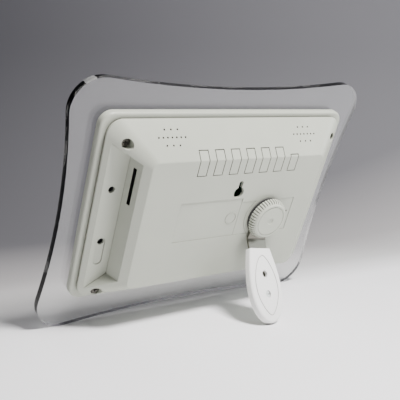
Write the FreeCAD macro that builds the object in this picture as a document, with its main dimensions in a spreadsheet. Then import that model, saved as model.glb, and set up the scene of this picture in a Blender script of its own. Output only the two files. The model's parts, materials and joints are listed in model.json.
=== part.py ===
import FreeCAD, Part
import math
import os
import re

# Digital photo frame on a swivelling stand.
#
# Every piece is modelled in the panel's own frame and then leaned back as one:
#   X  along the frame's width, Y  out of its back, Z  up along the panel.
# The stand, its leg and the knob have frames of their own, set by STAND, LEG and KNOB below.
# Y = 0 is the rear face of the clear panel. X = 0, Z = 0 is the middle of the housing.

Vector = FreeCAD.Vector
Rotation = FreeCAD.Rotation
Placement = FreeCAD.Placement

# Sizes that are set by themselves, in millimetres. Levels are measured along Y from the panel's rear face.
DIMENSIONS = {
    # How far a cutting tool runs past what it cuts.
    "past": 1.0,
    # Display module: the size that the whole frame is built round.
    "display_width": 165.0,
    "display_height": 104.0,
    "display_border_side": 4.0,
    "display_border_edge": 7.0,
    "display_gap": 0.5,
    "gasket_thick": 0.5,
    "gasket_width": 3.0,
    "glass_thick": 1.4,
    "backlight_thick": 4.2,
    "backlight_corner": 1.5,
    "flex_width": 20.0,
    "flex_thick": 0.3,
    # Front bezel: its margins round the display, and its depth.
    "bezel_side": 17.5,
    "bezel_edge": 14.25,
    "bezel_depth": 4.7,
    "bezel_corner": 9.0,
    "bezel_edge_round": 1.5,
    "lip_thick": 1.0,
    "groove_width": 1.4,
    "groove_depth": 1.2,
    "tongue_width": 3.2,
    # Clear acrylic panel: its margins at the corners, and how far its sides are hollowed.
    "panel_side": 22.85,
    "panel_above": 22.85,
    "panel_below": 29.05,
    "panel_side_hollow": 10.2,
    "panel_edge_hollow": 9.4,
    "panel_corner": 20.0,
    "panel_thick": 5.0,
    "tape_thick": 0.5,
    "tape_width": 9.0,
    "tape_inset": 3.5,
    "tape_inner_corner": 1.0,
    # Rear cover: steps in from the bezel to its rim, and from the rim to its flat back.
    "rim_step_side": 3.8,
    "rim_step_above": 3.2,
    "rim_step_below": 3.0,
    "rim_height": 1.2,
    "rim_corner": 10.0,
    "slope_side": 24.8,
    "slope_above": 20.4,
    "slope_below": 14.45,
    "back_corner": 5.0,
    "cover_depth": 26.2,
    "wall": 2.0,
    "ridge_round": 1.2,
    # Side recesses: a ledge, a steep wall behind it and two slanting ends.
    "ledge_width": 17.9,
    "ledge_rise": 2.2,
    "recess_lean": 9.2,
    "recess_end_below": 18.05,
    "recess_end_above": 22.25,
    "recess_slant_below": 0.66,
    "recess_slant_above": 0.55,
    # Case screws in the four corners.
    "screw_inset": 11.0,
    "screw_inset_above": 12.75,
    "screw_inset_below": 7.25,
    "well_radius": 3.3,
    "column_radius": 5.2,
    "case_screw_radius": 1.5,
    "case_head_radius": 2.7,
    "case_head_height": 1.9,
    "driver_slot": 0.7,
    "bezel_boss_radius": 2.8,
    # Keys along the ridge between the flat back and the upper slope.
    "key_count": 7,
    "key_first": 33.9,
    "key_width": 6.5,
    "key_space": 6.2,
    "key_below_ridge": 10.55,
    "key_over_ridge": 4.75,
    "last_key_over_ridge": 0.75,
    "key_flange_gap": 0.3,
    "key_gap": 0.5,
    "key_flange": 1.0,
    "key_flange_height": 9.5,
    "key_flange_thick": 1.5,
    "key_stem": 0.7,
    "switch_below_ridge": 6.65,
    "switch_size": 6.0,
    "switch_height": 3.5,
    "plunger_radius": 1.75,
    "plunger_reach": 1.5,
    "plunger_hidden": 1.6,
    "plunger_travel": 0.9,
    "running_gap": 0.05,
    "key_board_thick": 1.2,
    "key_board_half": 5.0,
    "key_post_radius": 1.7,
    # Speakers and their holes in the upper slope.
    "speaker_inset": 40.9,
    "speaker_rise": 7.9,
    "speaker_length": 26.0,
    "speaker_height": 11.0,
    "speaker_thick": 3.2,
    "dish_depth": 0.8,
    "speaker_hole": 0.6,
    "hole_pitch": 3.25,
    "outer_hole_pitch": 4.8,
    "hole_row_gap": 5.1,
    # Marks on the flat back.
    "keyhole_x": -1.0,
    "keyhole_below_top": 25.35,
    "keyhole_radius": 4.0,
    "keyhole_neck": 3.2,
    "keyhole_reach": 7.2,
    "label_depth": 0.4,
    "label_left": 44.0,
    "label_split": -6.6,
    "label_right": -54.4,
    "label_below_keyhole": 4.7,
    "label_bottom": -16.6,
    "label_step": 3.0,
    "knob_label_depth": 0.25,
    "ring_x": -0.7,
    "ring_z": -2.5,
    "ring_radius": 4.6,
    "ring_width": 0.6,
    "ring_height": 0.25,
    "reset_x": -51.1,
    "reset_z": -1.4,
    "reset_radius": 0.7,
    # Main board, which hangs on posts from the cover's back.
    "board_thick": 1.6,
    "board_margin": 4.3,
    "board_margin_below": 2.8,
    "board_margin_right": 5.4,
    "board_below_keys": 1.5,
    "tab_width": 32.0,
    "tab_margin": 2.4,
    "post_radius": 2.6,
    "post_inset": 7.0,
    "socket_post_gap": 3.9,
    "capacitor_radius": 3.2,
    "capacitor_height": 7.0,
    "board_screw_radius": 0.95,
    "board_head_radius": 1.9,
    "board_head_height": 1.4,
    "board_screw_bite": 5.0,
    "cell_from_left": 54.0,
    "cell_rise": 18.0,
    "cell_radius": 10.0,
    "cell_thick": 3.2,
    "holder_floor": 0.8,
    "holder_wall": 1.5,
    # Memory-card slot and the socket behind it.
    "slot_below_end": 6.1,
    "slot_length": 24.9,
    "slot_rise": 4.9,
    "slot_width": 3.0,
    "socket_length": 30.0,
    "socket_height": 3.7,
    "socket_margin": 1.6,
    "socket_back": 2.0,
    "card_side_gap": 0.2,
    "card_above_board": 1.9,
    "card_thick": 2.4,
    "socket_gap": 0.5,
    # Sockets that open in the left-hand ledge.
    "jack_inset": 9.5,
    "phone_below_end": 23.3,
    "power_above_end": 25.0,
    "jack_width": 7.6,
    "jack_height": 9.4,
    "jack_floor": 0.6,
    "jack_hole": 2.25,
    "phone_bore": 1.8,
    "power_bore": 2.0,
    "power_pin": 0.65,
    "channel_radius": 3.0,
    "channel_depth": 0.7,
    "channel_length": 17.1,
    "jack_board_thick": 1.2,
    "jack_board_width": 8.4,
    "jack_board_margin": 6.6,
    # Stand: bolt, friction washer, bent steel bracket and knob.
    "stand_x": -30.5,
    "stand_z": -3.5,
    "bolt_radius": 2.5,
    "bolt_head": 9.0,
    "bolt_head_thick": 3.0,
    "boss_thick": 1.5,
    "boss_rim": 6.5,
    "island_margin": 2.0,
    "washer_rim": 11.8,
    "washer_thick": 0.8,
    "stand_gap": 0.2,
    "bracket_thick": 1.6,
    "bracket_width": 17.0,
    "bracket_bend": 17.5,
    "bracket_bend_radius": 3.0,
    "knob_gap": 0.3,
    "knob_radius": 15.25,
    "knob_height": 5.2,
    "knob_rim_height": 2.9,
    "knob_taper": 0.5,
    "knob_face_radius": 12.4,
    "knob_ring_inset": 1.0,
    "knob_ring_width": 0.8,
    "knob_ring_depth": 0.4,
    "knob_dimple_radius": 2.6,
    "knob_dimple_depth": 0.6,
    "knob_rib_depth": 0.65,
    "knob_rib_end": 0.5,
    "knob_ribs": 44,
    "insert_wall": 1.7,
    "insert_length": 3.6,
    # Leg: two shells screwed together over the end of the bracket.
    "swing": 8.9,
    "leg_out": 46.6,
    "leg_start": 8.0,
    "leg_length": 52.5,
    "leg_top_half": 9.9,
    "leg_wide_half": 14.9,
    "leg_wide_at": 28.6,
    "leg_shell": 2.85,
    "leg_edge_round": 1.4,
    "leg_fit": 0.1,
    "tang_margin": 5.5,
    "leg_mark_share": 0.72,
    "leg_mark_width": 0.6,
    "leg_mark_depth": 0.3,
    "leg_mark_margin": 5.0,
    "leg_bore_at": 18.4,
    "leg_bore_radius": 2.4,
    "leg_screw_at": 32.5,
    "leg_screw_radius": 1.0,
    "leg_screw_head": 2.3,
    "leg_screw_sink": 1.4,
    "leg_screw_floor": 0.8,
}

# Sizes that follow from those above.
DERIVED = {
    "bezel_front": "tape_thick",
    "bezel_back": "bezel_front + bezel_depth",
    "bezel_width": "display_width + 2 * bezel_side",
    "bezel_height": "display_height + 2 * bezel_edge",
    "window_width": "display_width - 2 * display_border_side",
    "window_height": "display_height - 2 * display_border_edge",
    "tape_outer_width": "bezel_width - 2 * tape_inset",
    "tape_outer_height": "bezel_height - 2 * tape_inset",
    "panel_half_width": "bezel_width / 2 + panel_side",
    "panel_top": "bezel_height / 2 + panel_above",
    "panel_bottom": "bezel_height / 2 + panel_below",
    "pocket_level": "bezel_front + lip_thick",
    "glass_front": "pocket_level + gasket_thick",
    "backlight_front": "glass_front + glass_thick",
    "backlight_back": "backlight_front + backlight_thick",
    "rim_width": "bezel_width - 2 * rim_step_side",
    "rim_top": "bezel_height / 2 - rim_step_above",
    "rim_bottom": "bezel_height / 2 - rim_step_below",
    "rim_level": "bezel_back + groove_width",
    "slope_start": "rim_level + rim_height",
    "back_width": "rim_width - 2 * slope_side",
    "back_top": "rim_top - slope_above",
    "back_bottom": "rim_bottom - slope_below",
    "inner_back": "cover_depth - wall",
    "ledge_level": "slope_start + ledge_rise",
    "ledge_under": "ledge_level - wall",
    "recess_foot": "rim_width / 2 - ledge_width",
    "recess_low": "recess_end_below - rim_bottom",
    "recess_high": "rim_top - recess_end_above",
    "screw_x": "rim_width / 2 - screw_inset",
    "screw_top": "rim_top - screw_inset_above",
    "screw_bottom": "screw_inset_below - rim_bottom",
    "key_pitch": "key_width + key_space",
    "key_low": "back_top - key_below_ridge",
    "key_high": "back_top + key_over_ridge",
    "last_key_high": "back_top + last_key_over_ridge",
    "key_inner": "inner_back - key_flange_gap",
    "key_thick": "cover_depth - key_inner",
    "key_under": "key_inner - key_flange_thick",
    "plunger_back": "key_under - key_stem",
    "switch_back": "plunger_back - plunger_reach",
    "key_board_back": "switch_back - switch_height",
    "key_board_level": "key_board_back - key_board_thick",
    "switch_z": "back_top - switch_below_ridge",
    "key_board_low": "switch_z - key_board_half",
    "key_board_high": "switch_z + key_board_half",
    "speaker_x": "rim_width / 2 - speaker_inset",
    "speaker_level": "slope_start + speaker_rise",
    "slot_high": "recess_high - slot_below_end",
    "slot_low": "slot_high - slot_length",
    "slot_level": "ledge_level + slot_rise",
    "card_level": "slot_level + slot_width / 2",
    "board_back": "card_level - card_above_board",
    "board_level": "board_back - board_thick",
    "board_left": "recess_foot - board_margin",
    "board_right": "board_margin_right - back_width / 2",
    "board_top": "key_board_low - board_below_keys",
    "board_bottom": "board_margin_below - back_bottom",
    "board_tab_top": "slot_high + tab_margin",
    "board_tab_left": "board_left - tab_width",
    "cell_x": "board_left - cell_from_left",
    "cell_z": "board_bottom + cell_rise",
    "holder_height": "cell_thick * 0.8",
    "holder_half": "cell_radius * 0.7",
    "cell_floor": "board_back + holder_floor",
    "jack_x": "rim_width / 2 - jack_inset",
    "jack_front": "pocket_level + jack_board_thick",
    "phone_jack_z": "recess_high - phone_below_end",
    "power_jack_z": "recess_low + power_above_end",
    "jack_board_top": "phone_jack_z + jack_board_margin",
    "jack_board_bottom": "power_jack_z - jack_board_margin",
    "channel_end": "power_jack_z - channel_length",
    "keyhole_z": "back_top - keyhole_below_top",
    "label_top": "keyhole_z - label_below_keyhole",
    "knob_label_top": "label_top - label_step",
    "island_radius": "knob_radius + island_margin",
    "washer_radius": "bolt_radius + washer_rim",
    "boss_radius": "bolt_radius + boss_rim",
    "bolt_seat": "inner_back - boss_thick",
    "bracket_front": "cover_depth + washer_thick + stand_gap",
    "bracket_back": "bracket_front + bracket_thick",
    "knob_base": "bracket_back + knob_gap",
    "insert_radius": "bolt_radius + insert_wall",
    "bolt_tip": "knob_base + insert_length - knob_gap",
    "driver_slot_reach": "case_head_radius * 0.65",
    "leg_thick": "leg_shell * 2",
    "tang_length": "leg_screw_at + tang_margin",
}

document = FreeCAD.newDocument("photo_frame")
sheet = document.addObject("Spreadsheet::Sheet", "Dims")
for row, (alias, value) in enumerate(DIMENSIONS.items(), start=1):
    sheet.set("A%d" % row, alias)
    sheet.set("B%d" % row, str(value))
    sheet.setAlias("B%d" % row, alias)
document.recompute()


def cell_name(word):
    if word in DIMENSIONS:
        return "Dims." + word
    return "Derived." + word if word in DERIVED else word


def bind(item, prop, formula):
    """Bind a property to a formula written in the names of the sizes."""
    linked = re.sub(r"[a-z][a-z_]+", lambda word: cell_name(word.group(0)), formula)
    item.setExpression(prop, linked)


derived = document.addObject("App::VarSet", "Derived")
for alias, formula in DERIVED.items():
    derived.addProperty("App::PropertyFloat", alias)
for alias, formula in DERIVED.items():
    bind(derived, alias, formula)
document.recompute()


class Sizes:
    """All sizes, read back for outlines that are worked out in code."""

    def __getattr__(self, alias):
        if alias in DERIVED:
            return float(getattr(derived, alias))
        return float(sheet.get(alias))


d = Sizes()


# ---------------------------------------------------------------- building blocks


def box(name, x_span, y_span, z_span):
    """A box between two formulas along each axis."""
    item = document.addObject("Part::Box", name)
    spans = (("Length", "x", x_span), ("Width", "y", y_span), ("Height", "z", z_span))
    for prop, axis, (low, high) in spans:
        bind(item, prop, "(%s) - (%s)" % (high, low))
        bind(item, "Placement.Base." + axis, low)
    return item


def rod(name, radius, x, z, y_span):
    """A cylinder along Y, from one level to another."""
    item = document.addObject("Part::Cylinder", name)
    item.Placement = Placement(Vector(), Rotation(Vector(1, 0, 0), -90))
    bind(item, "Radius", radius)
    bind(item, "Height", "(%s) - (%s)" % (y_span[1], y_span[0]))
    bind(item, "Placement.Base.x", x)
    bind(item, "Placement.Base.y", y_span[0])
    bind(item, "Placement.Base.z", z)
    return item


def fuse(name, items):
    item = document.addObject("Part::MultiFuse", name)
    item.Shapes = items
    item.Refine = True
    return item


def cut(name, base, tools):
    item = document.addObject("Part::Cut", name)
    item.Base = base
    item.Tool = tools[0] if len(tools) == 1 else fuse(name + "_tools", tools)
    item.Refine = True
    return item


def common(name, first, second):
    item = document.addObject("Part::Common", name)
    item.Base = first
    item.Tool = second
    return item


def group(name, items):
    """Separate solids that share one node."""
    item = document.addObject("Part::Compound", name)
    item.Links = items
    return item


def piece(name, item):
    """A node of one plain solid, whose own place stays bound to the sheet."""
    return group(name, [item])


def rounded(name, base, choose, radius):
    """Round the edges of a solid that the choose function picks."""
    document.recompute()
    item = document.addObject("Part::Fillet", name)
    item.Base = base
    edges = enumerate(base.Shape.Edges, start=1)
    item.Edges = [(number, radius, radius) for number, edge in edges if choose(edge)]
    return item


def at_level(level):
    """Choose the edges that lie in one plane across Y."""
    def choose(edge):
        limits = edge.BoundBox
        return abs(limits.YMin - level) < 0.01 and abs(limits.YMax - level) < 0.01
    return choose


def origin_plane(body, role):
    return [plane for plane in body.Origin.OriginFeatures if plane.Role == role][0]


def sketch(body, name, role, offset, outline):
    """A sketch of ready outlines on one of the body's own planes."""
    item = body.newObject("Sketcher::SketchObject", name)
    item.AttachmentSupport = [(origin_plane(body, role), "")]
    item.MapMode = "FlatFace"
    bind(item, "AttachmentOffset.Base.z", offset)
    item.addGeometry(outline, False)
    return item


def plate(name, outline, y_span):
    """Pad an outline drawn in X and Z between two levels of Y."""
    body = document.addObject("PartDesign::Body", name)
    profile = sketch(body, name + "_outline", "XZ_Plane", "-(%s)" % y_span[0], outline)
    pad = body.newObject("PartDesign::Pad", name + "_pad")
    pad.Profile = profile
    pad.Reversed = True
    bind(pad, "Length", "(%s) - (%s)" % (y_span[1], y_span[0]))
    return body


def bar(name, outline, x_span):
    """Pad an outline drawn in Y and Z between two places along X."""
    body = document.addObject("PartDesign::Body", name)
    profile = sketch(body, name + "_outline", "YZ_Plane", x_span[0], outline)
    pad = body.newObject("PartDesign::Pad", name + "_pad")
    pad.Profile = profile
    bind(pad, "Length", "(%s) - (%s)" % (x_span[1], x_span[0]))
    return body


def upright(name, outline, z_span):
    """Pad an outline drawn in X and Y between two heights."""
    body = document.addObject("PartDesign::Body", name)
    profile = sketch(body, name + "_outline", "XY_Plane", z_span[0], outline)
    pad = body.newObject("PartDesign::Pad", name + "_pad")
    pad.Profile = profile
    bind(pad, "Length", "(%s) - (%s)" % (z_span[1], z_span[0]))
    return body


def loft(name, low_outline, high_outline, y_span):
    """A straight-sided loft between two outlines drawn in X and Z."""
    body = document.addObject("PartDesign::Body", name)
    low = sketch(body, name + "_low", "XZ_Plane", "-(%s)" % y_span[0], low_outline)
    high = sketch(body, name + "_high", "XZ_Plane", "-(%s)" % y_span[1], high_outline)
    item = body.newObject("PartDesign::AdditiveLoft", name + "_loft")
    item.Profile = low
    item.Sections = [high]
    item.Ruled = True
    return body


def turned(name, outline):
    """Turn an outline drawn in X and Y about the Y axis."""
    body = document.addObject("PartDesign::Body", name)
    profile = sketch(body, name + "_outline", "XY_Plane", "0", outline)
    item = body.newObject("PartDesign::Revolution", name + "_turn")
    item.Profile = profile
    item.ReferenceAxis = (profile, ["V_Axis"])
    item.Angle = 360
    return body


# ---------------------------------------------------------------- outlines


def polygon(points):
    corners = [Vector(first, second, 0) for first, second in points]
    followers = corners[1:] + corners[:1]
    return [Part.LineSegment(start, end) for start, end in zip(corners, followers)]


def arc(points):
    start, middle, end = [Vector(first, second, 0) for first, second in points]
    return Part.Arc(start, middle, end)


def rounded_rectangle(left, right, bottom, top, radius):
    lines = []
    bend = radius * (1 - math.sqrt(0.5))
    corners = (
        ((right, bottom), (-radius, 0), (0, radius), (-bend, bend)),
        ((right, top), (0, -radius), (-radius, 0), (-bend, -bend)),
        ((left, top), (radius, 0), (0, -radius), (bend, -bend)),
        ((left, bottom), (0, radius), (radius, 0), (bend, bend)),
    )
    arcs = []
    for corner, enter, leave, middle in corners:
        shifted = [(corner[0] + step[0], corner[1] + step[1]) for step in (enter, middle, leave)]
        arcs.append(shifted)
    for index, points in enumerate(arcs):
        following = arcs[(index + 1) % len(arcs)]
        lines.append(arc(points))
        lines.append(Part.LineSegment(Vector(*points[2], 0), Vector(*following[0], 0)))
    return lines


def corner_round(corner, before, after, radius):
    """Start, middle and end of the arc that rounds a corner between two points."""
    to_before = (Vector(*before, 0) - Vector(*corner, 0)).normalize()
    to_after = (Vector(*after, 0) - Vector(*corner, 0)).normalize()
    half = to_before.getAngle(to_after) / 2
    inward = (to_before + to_after).normalize()
    tangent = radius / math.tan(half)
    apex = Vector(*corner, 0)
    start = apex + to_before * tangent
    middle = apex + inward * (radius / math.sin(half) - radius)
    end = apex + to_after * tangent
    return [(point.x, point.y) for point in (start, middle, end)]


def hollow_circle(half_chord, hollow):
    """Radius of the circle that dips by hollow between the ends of a chord."""
    return (half_chord ** 2 + hollow ** 2) / (2 * hollow)


def panel_outline():
    """Four hollow arcs, joined by arcs that touch both of their neighbours."""
    half_height = (d.panel_top + d.panel_bottom) / 2
    middle_z = (d.panel_top - d.panel_bottom) / 2
    edge_radius = hollow_circle(d.panel_half_width, d.panel_edge_hollow)
    side_radius = hollow_circle(half_height, d.panel_side_hollow)
    side_centre = d.panel_half_width - d.panel_side_hollow + side_radius
    top_centre = half_height - d.panel_edge_hollow + edge_radius
    # The corner arc's centre is one corner radius outside both side circles.
    reach_side = side_radius + d.panel_corner
    reach_top = edge_radius + d.panel_corner
    apart = math.hypot(side_centre, top_centre)
    along = (reach_side ** 2 - reach_top ** 2 + apart ** 2) / (2 * apart)
    across = math.sqrt(reach_side ** 2 - along ** 2)
    from_side = Vector(-side_centre, top_centre, 0) / apart
    toward_corner = Vector(from_side.y, -from_side.x, 0) * -1
    centre = Vector(side_centre, 0, 0) + from_side * along + toward_corner * across
    on_side = Vector(side_centre, 0, 0) + (centre - Vector(side_centre, 0, 0)) * (side_radius / reach_side)
    on_top = Vector(0, top_centre, 0) + (centre - Vector(0, top_centre, 0)) * (edge_radius / reach_top)
    tip = centre + (on_side + on_top - centre * 2).normalize() * d.panel_corner

    def place(point, right, up):
        return (point.x * right, point.y * up + middle_z)

    outline = []
    for right in (1, -1):
        side = (d.panel_half_width - d.panel_side_hollow) * right
        ends = [place(on_side, right, up) for up in (1, -1)]
        outline.append(arc([ends[0], (side, middle_z), ends[1]]))
        for up in (1, -1):
            outline.append(arc([place(point, right, up) for point in (on_side, tip, on_top)]))
    for up in (1, -1):
        edge = (half_height - d.panel_edge_hollow) * up + middle_z
        ends = [place(on_top, right, up) for right in (1, -1)]
        outline.append(arc([ends[0], (0, edge), ends[1]]))
    return outline


# ---------------------------------------------------------------- derived sizes

slope_depth = d.cover_depth - d.slope_start
top_slope = (d.rim_top - d.back_top) / slope_depth
bottom_slope = (d.rim_bottom - d.back_bottom) / slope_depth
side_slope = (d.rim_width - d.back_width) / 2 / slope_depth


def slope_level(z):
    """Level of the cover's outer surface at a height on the back or the upper slope."""
    return d.cover_depth - max(0.0, z - d.back_top) / top_slope


def cover_outline(level, inset):
    """Outline of the cover's sloping part at one level, moved inwards square to its sides."""
    risen = level - d.slope_start

    def half(rim, slope):
        return rim - slope * risen - inset * math.hypot(1, slope)

    side = half(d.rim_width / 2, side_slope)
    top = half(d.rim_top, top_slope)
    bottom = half(d.rim_bottom, bottom_slope)
    share = risen / slope_depth
    radius = d.rim_corner + (d.back_corner - d.rim_corner) * share - inset
    return rounded_rectangle(-side, side, -bottom, top, max(radius, d.back_corner / 2))


# ---------------------------------------------------------------- front half


def make_panel():
    return plate("acrylic_panel", panel_outline(), ("-panel_thick", "0"))


def frame_outline(width, height, radius):
    return rounded_rectangle(-width / 2, width / 2, -height / 2, height / 2, radius)


def make_tape():
    outer = frame_outline(d.tape_outer_width, d.tape_outer_height, d.bezel_corner)
    inner = frame_outline(d.tape_outer_width - 2 * d.tape_width, d.tape_outer_height - 2 * d.tape_width,
                          d.tape_inner_corner)
    return plate("adhesive_frame", outer + inner, ("0", "bezel_front"))


def make_bezel():
    block = plate("bezel_block", frame_outline(d.bezel_width, d.bezel_height, d.bezel_corner),
                  ("bezel_front", "bezel_back"))
    soft = rounded("bezel_soft", block, at_level(d.bezel_back), d.bezel_edge_round)
    tongue_outer = rim_outline(d.groove_depth)
    tongue_inner = rim_outline(d.groove_depth + d.tongue_width)
    tongue = plate("bezel_tongue", tongue_outer + tongue_inner, ("bezel_back", "rim_level"))
    bosses = []
    pilots = []
    for index, (x, z) in enumerate(case_screw_places()):
        bosses.append(rod("bezel_boss_%d" % index, "bezel_boss_radius", x, z,
                          ("bezel_back", "ledge_under")))
        pilots.append(rod("bezel_pilot_%d" % index, "case_screw_radius + running_gap", x, z,
                          ("pocket_level", "ledge_level")))
    window = box("bezel_window", ("-window_width / 2", "window_width / 2"), ("0", "bezel_back"),
                 ("-window_height / 2", "window_height / 2"))
    pocket = box("bezel_pocket",
                 ("-display_width / 2 - display_gap", "display_width / 2 + display_gap"),
                 ("pocket_level", "ledge_level"),
                 ("-display_height / 2 - display_gap", "display_height / 2 + display_gap"))
    jack_pocket = box("bezel_jack_pocket",
                      ("display_width / 2", "jack_x + jack_board_width / 2 + display_gap"),
                      ("pocket_level", "ledge_level"),
                      ("jack_board_bottom - display_gap", "jack_board_top + display_gap"))
    body = fuse("bezel_body", [soft, tongue] + bosses)
    return cut("front_bezel", body, [window, pocket, jack_pocket] + pilots)


def case_screw_places():
    """The four corners, as formulas for X and Z."""
    return [(side + "screw_x", z) for side in ("", "-") for z in ("screw_top", "screw_bottom")]


def make_display():
    half_width = d.display_width / 2
    half_height = d.display_height / 2
    gasket = polygon_frame(half_width, half_height, d.gasket_width)
    plate("lcd_gasket", gasket, ("pocket_level", "glass_front"))
    spans = (("-display_width / 2", "display_width / 2"), ("-display_height / 2", "display_height / 2"))
    piece("lcd_glass", box("glass_sheet", spans[0], ("glass_front", "backlight_front"), spans[1]))
    tray = box("backlight_block", spans[0], ("backlight_front", "backlight_back"), spans[1])

    def outer_corner(edge):
        limits = edge.BoundBox
        return limits.XLength < 0.01 and limits.ZLength < 0.01

    rounded("lcd_backlight", tray, outer_corner, d.backlight_corner)
    strip = box("flex_strip", ("-flex_width / 2", "flex_width / 2"), ("backlight_back", "board_level"),
                ("board_bottom / 2", "board_bottom / 2 + flex_thick"))
    piece("display_flex", strip)
    return ["lcd_gasket", "lcd_glass", "lcd_backlight", "display_flex"]


def polygon_frame(half_width, half_height, width):
    def ring(inset):
        x = half_width - inset
        z = half_height - inset
        return polygon([(-x, -z), (x, -z), (x, z), (-x, z)])
    return ring(0) + ring(width)


# ---------------------------------------------------------------- rear cover

THROUGH_BACK = ("inner_back - past", "cover_depth + past")


def recess_block(name, side, grown):
    """The space of one side recess, or the same with the wall's thickness added all round."""
    foot = d.recess_foot - grown
    level = d.ledge_level - grown
    high = d.cover_depth + d.ledge_width
    far = d.rim_width / 2 + d.ledge_width
    lean = math.tan(math.radians(d.recess_lean)) * (high - level)
    section = [(foot, level), (foot - lean, high), (far, high), (far, level)]
    near = d.recess_foot - 2 * d.ledge_width
    plan = [
        (near, d.recess_low - grown + d.recess_slant_below * (d.recess_foot - near)),
        (far, d.recess_low - grown - d.recess_slant_below * (far - d.recess_foot)),
        (far, d.recess_high + grown + d.recess_slant_above * (far - d.recess_foot)),
        (near, d.recess_high + grown - d.recess_slant_above * (d.recess_foot - near)),
    ]
    run = upright(name + "_run", polygon([(x * side, y) for x, y in section]),
                  ("-rim_bottom", "rim_top"))
    ends = plate(name + "_ends", polygon([(x * side, z) for x, z in plan]), ("0", "cover_depth + ledge_width"))
    return common(name, run, ends)


def cover_form(name, level_span, corner_levels, inset):
    low, high = corner_levels
    return loft(name, cover_outline(low, inset), cover_outline(high, inset), level_span)


def rim_outline(inset):
    return rounded_rectangle(-d.rim_width / 2 + inset, d.rim_width / 2 - inset,
                             -d.rim_bottom + inset, d.rim_top - inset, d.rim_corner - inset)


def make_cover():
    rim = plate("cover_rim", rim_outline(0), ("rim_level", "slope_start"))
    slopes = cover_form("cover_slopes", ("slope_start", "cover_depth"), (d.slope_start, d.cover_depth), 0)
    solid = fuse("cover_solid", [rim, slopes])
    soft = rounded("cover_soft", solid, at_level(d.cover_depth), d.ridge_round)
    outer = cut("cover_outer", soft, [recess_block("left_recess", 1, 0), recess_block("right_recess", -1, 0)])

    # The hollow follows the outside, one wall thickness in, so its bend lies a little lower.
    bend = d.slope_start - d.wall * (math.hypot(1, side_slope) - 1) / side_slope
    inner_rim = plate("hollow_rim", rim_outline(d.wall), ("rim_level", "%.6f" % bend))
    inner_slopes = cover_form("hollow_slopes", ("%.6f" % bend, "inner_back"), (bend, d.inner_back), d.wall)
    hollow = fuse("hollow_solid", [inner_rim, inner_slopes])
    hollow = cut("cover_hollow", hollow,
                 [recess_block("left_recess_wall", 1, d.wall), recess_block("right_recess_wall", -1, d.wall)])
    shell = cut("cover_shell", outer, [hollow])

    columns = [rod("column_%d" % index, "column_radius", x, z, ("ledge_under", "cover_depth"))
               for index, (x, z) in enumerate(case_screw_places())]
    inside = common("cover_columns", outer, fuse("column_set", columns))
    posts = [rod("board_post_%d" % index, "post_radius", x, z, ("board_back", "inner_back"))
             for index, (x, z) in enumerate(board_screw_places())]
    key_posts = [rod("key_post_%d" % index, "key_post_radius", x, "switch_z", ("key_board_back", "inner_back"))
                 for index, x in enumerate(key_post_places())]
    boss = rod("stand_boss", "boss_radius", "stand_x", "stand_z", ("bolt_seat", "inner_back"))
    body = fuse("cover_body", [shell, inside] + posts + key_posts + [boss])

    tools = screw_wells() + pilot_holes() + key_openings() + speaker_holes()
    tools += keyhole() + side_openings() + back_marks()
    tools.append(rod("bolt_passage", "bolt_radius + running_gap * 2", "stand_x", "stand_z",
                     ("bolt_seat - past", "cover_depth + past")))
    tools.append(rod("reset_passage", "reset_radius", "reset_x", "reset_z", THROUGH_BACK))
    pierced = cut("cover_pierced", body, tools)

    ring = cut("ring_mark", rod("ring_outer", "ring_radius", "ring_x", "ring_z",
                                ("cover_depth - wall / 2", "cover_depth - label_depth + ring_height")),
               [rod("ring_inner", "ring_radius - ring_width", "ring_x", "ring_z",
                    ("cover_depth - wall", "cover_depth + past"))])
    return fuse("rear_cover", [pierced, ring])


def screw_wells():
    wells = []
    for index, (x, z) in enumerate(case_screw_places()):
        wells.append(rod("well_%d" % index, "well_radius", x, z, ("ledge_level", "cover_depth + past")))
        wells.append(rod("well_hole_%d" % index, "case_screw_radius + running_gap * 4", x, z,
                         ("ledge_under - past", "cover_depth")))
    return wells


def pilot_holes():
    """Holes that the small screws of both boards bite into."""
    places = [(x, z, "board_back") for x, z in board_screw_places()]
    places += [(x, "switch_z", "key_board_back") for x in key_post_places()]
    return [rod("pilot_%d" % index, "board_screw_radius + running_gap", x, z,
                (level + " - past", level + " + board_screw_bite + past"))
            for index, (x, z, level) in enumerate(places)]


def key_places():
    """X of each key's middle, as a formula."""
    return ["key_first - key_pitch * %d" % index for index in range(int(d.key_count))]


def key_tops():
    """All keys fold over the ridge, but the last one ends at it."""
    return ["key_high"] * (int(d.key_count) - 1) + ["last_key_high"]


def key_openings():
    openings = []
    for index, (x, top) in enumerate(zip(key_places(), key_tops())):
        openings.append(box("key_opening_%d" % index,
                            (x + " - key_width / 2 - key_gap", x + " + key_width / 2 + key_gap"),
                            ("key_board_back", "cover_depth + past"),
                            ("key_low - key_gap", top + " + key_gap")))
    return openings


def speaker_holes():
    """Three rows of small holes, square to the upper slope, for each speaker."""
    lean = math.degrees(math.atan(top_slope))
    along = Vector(0, -1, top_slope).normalize()
    middle = Vector(0, d.speaker_level, d.rim_top - (d.speaker_level - d.slope_start) * top_slope)
    rows = ((0, 7, d.hole_pitch), (1, 3, d.outer_hole_pitch), (-1, 3, d.outer_hole_pitch))
    holes = []
    for side in (1, -1):
        for row, count, pitch in rows:
            for place in range(count):
                item = document.addObject("Part::Cylinder", "speaker_hole")
                bind(item, "Radius", "speaker_hole")
                bind(item, "Height", "wall * 4")
                spot = middle + along * (row * d.hole_row_gap)
                spot.x = side * d.speaker_x + (place - (count - 1) / 2) * pitch
                turn = Rotation(Vector(1, 0, 0), -lean)
                start = spot - turn.multVec(Vector(0, 0, 2 * d.wall))
                item.Placement = Placement(start, turn)
                holes.append(item)
    return holes


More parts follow.
